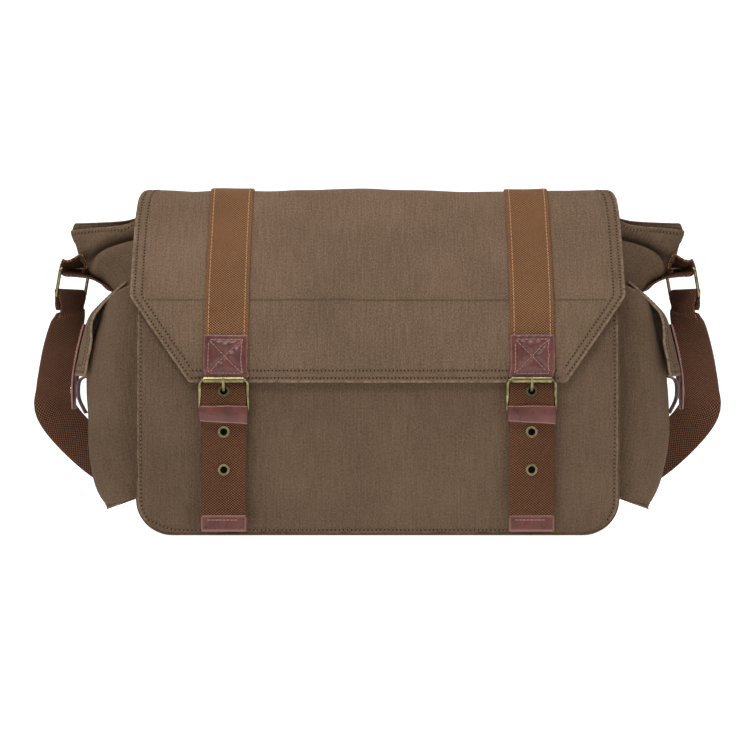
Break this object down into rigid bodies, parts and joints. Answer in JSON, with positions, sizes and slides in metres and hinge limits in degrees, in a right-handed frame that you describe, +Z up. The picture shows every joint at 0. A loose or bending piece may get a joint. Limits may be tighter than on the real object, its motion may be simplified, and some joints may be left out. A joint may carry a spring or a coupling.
{
  "type": "messenger bag",
  "caption": "Canvas messenger bag: boxy gusseted body, wide front flap held by buckled webbing straps, flapped side pockets, shoulder strap on wire rings.",
  "frame": {"origin": "on the floor at the centre of the base panel", "axes": "+Z up, -Y towards the front with the flap and buckles, +X to the right seen from the front"},
  "size_m": [0.6592, 0.2056, 0.3199],
  "materials": {
    "canvas": "matte washed canvas",
    "flap_canvas": "matte washed canvas, doubled",
    "lining": "plain cotton",
    "webbing": "cotton webbing",
    "strap_webbing": "cotton webbing",
    "leather": "semi-gloss with raw edges",
    "brass": "antique satin",
    "board": "matte"
  },
  "bodies": {
    "bag": {"front_panel": "canvas", "back_panel": "canvas", "gusset_left": "canvas", "gusset_right": "canvas", "base_panel": "canvas", "lining": "lining", "base_board": "board", "edge_piping": "canvas", "side_pocket_left": "canvas", "side_pocket_right": "canvas", "pocket_loop_left": "leather", "pocket_loop_right": "leather", "side_tab_left": "webbing", "side_tab_right": "webbing", "snap_sockets": "brass", "flap_rear": "flap_canvas", "webbing_rear": "webbing", "shoulder_strap_left": "strap_webbing", "shoulder_strap_right": "strap_webbing", "strap_link": "brass"},
    "slider": {"strap_slider": "brass", "strap_return": "strap_webbing"},
    "flap_top": {"flap_top": "flap_canvas", "webbing_top": "webbing"},
    "flap_front": {"flap_front": "flap_canvas", "webbing_front_left": "webbing", "webbing_front_right": "webbing", "leather_patch_left": "leather", "leather_patch_right": "leather", "belt_left": "webbing", "belt_right": "webbing", "base_strap_left": "webbing", "base_strap_right": "webbing", "base_tabs": "leather", "buckle_frame_left": "brass", "buckle_frame_right": "brass", "keeper_left": "leather", "keeper_right": "leather", "snap_studs": "brass", "belt_eyelets": "brass"},
    "strap_tail_left": {"tail_left": "webbing", "tail_tip_left": "leather", "tail_eyelets_left": "brass"},
    "roller_left": {"roller_left": "brass"},
    "prong_left": {"prong_left": "brass"},
    "pocket_flap_left": {"pocket_flap_left": "canvas", "pocket_strip_left": "leather", "pocket_snap_left": "brass"},
    "ring_left": {"ring_left": "brass", "strap_end_left": "strap_webbing"},
    "strap_tail_right": {"tail_right": "webbing", "tail_tip_right": "leather", "tail_eyelets_right": "brass"},
    "roller_right": {"roller_right": "brass"},
    "prong_right": {"prong_right": "brass"},
    "pocket_flap_right": {"pocket_flap_right": "canvas", "pocket_strip_right": "leather", "pocket_snap_right": "brass"},
    "ring_right": {"ring_right": "brass", "strap_end_right": "strap_webbing"}
  },
  "joints": [
    {"name": "flap_top_fold", "type": "hinge", "parent": "bag", "child": "flap_top", "pos_m": [0, 0.02728, 0.30461], "axis": [-1, 0, 0], "range_deg": [0, 150]},
    {"name": "flap_front_fold", "type": "hinge", "parent": "flap_top", "child": "flap_front", "pos_m": [0, -0.03451, 0.29932], "axis": [-1, 0, 0], "range_deg": [0, 150]},
    {"name": "strap_tail_left_swing", "type": "hinge", "parent": "flap_front", "child": "strap_tail_left", "pos_m": [-0.138, -0.0945, 0.1003], "axis": [-1, 0, 0], "range_deg": [0, 50]},
    {"name": "roller_left_turn", "type": "hinge", "parent": "flap_front", "child": "roller_left", "pos_m": [-0.138, -0.09701, 0.14052], "axis": [1, 0, 0], "continuous": true},
    {"name": "prong_left_lift", "type": "hinge", "parent": "flap_front", "child": "prong_left", "pos_m": [-0.138, -0.093, 0.112], "axis": [1, 0, 0], "range_deg": [0, 3]},
    {"name": "pocket_flap_left_lift", "type": "hinge", "parent": "bag", "child": "pocket_flap_left", "pos_m": [-0.2495, 0, 0.2235], "axis": [0, 1, 0], "range_deg": [0, 3.2]},
    {"name": "ring_left_swing", "type": "hinge", "parent": "bag", "child": "ring_left", "pos_m": [-0.283, 0, 0.244], "axis": [0.5299, 0.848, 0], "range_deg": [-8, 8]},
    {"name": "strap_tail_right_swing", "type": "hinge", "parent": "flap_front", "child": "strap_tail_right", "pos_m": [0.138, -0.0945, 0.1003], "axis": [-1, 0, 0], "range_deg": [0, 50]},
    {"name": "roller_right_turn", "type": "hinge", "parent": "flap_front", "child": "roller_right", "pos_m": [0.138, -0.09701, 0.14052], "axis": [1, 0, 0], "continuous": true},
    {"name": "prong_right_lift", "type": "hinge", "parent": "flap_front", "child": "prong_right", "pos_m": [0.138, -0.093, 0.112], "axis": [1, 0, 0], "range_deg": [0, 3]},
    {"name": "pocket_flap_right_lift", "type": "hinge", "parent": "bag", "child": "pocket_flap_right", "pos_m": [0.2495, 0, 0.2235], "axis": [0, -1, 0], "range_deg": [0, 3.2]},
    {"name": "ring_right_swing", "type": "hinge", "parent": "bag", "child": "ring_right", "pos_m": [0.283, 0, 0.244], "axis": [-0.5299, 0.848, 0], "range_deg": [-8, 8]},
    {"name": "strap_slider_slide", "type": "slide", "parent": "bag", "child": "slider", "axis": [1, 0, 0], "range_m": [0, 0.02]}
  ]
}
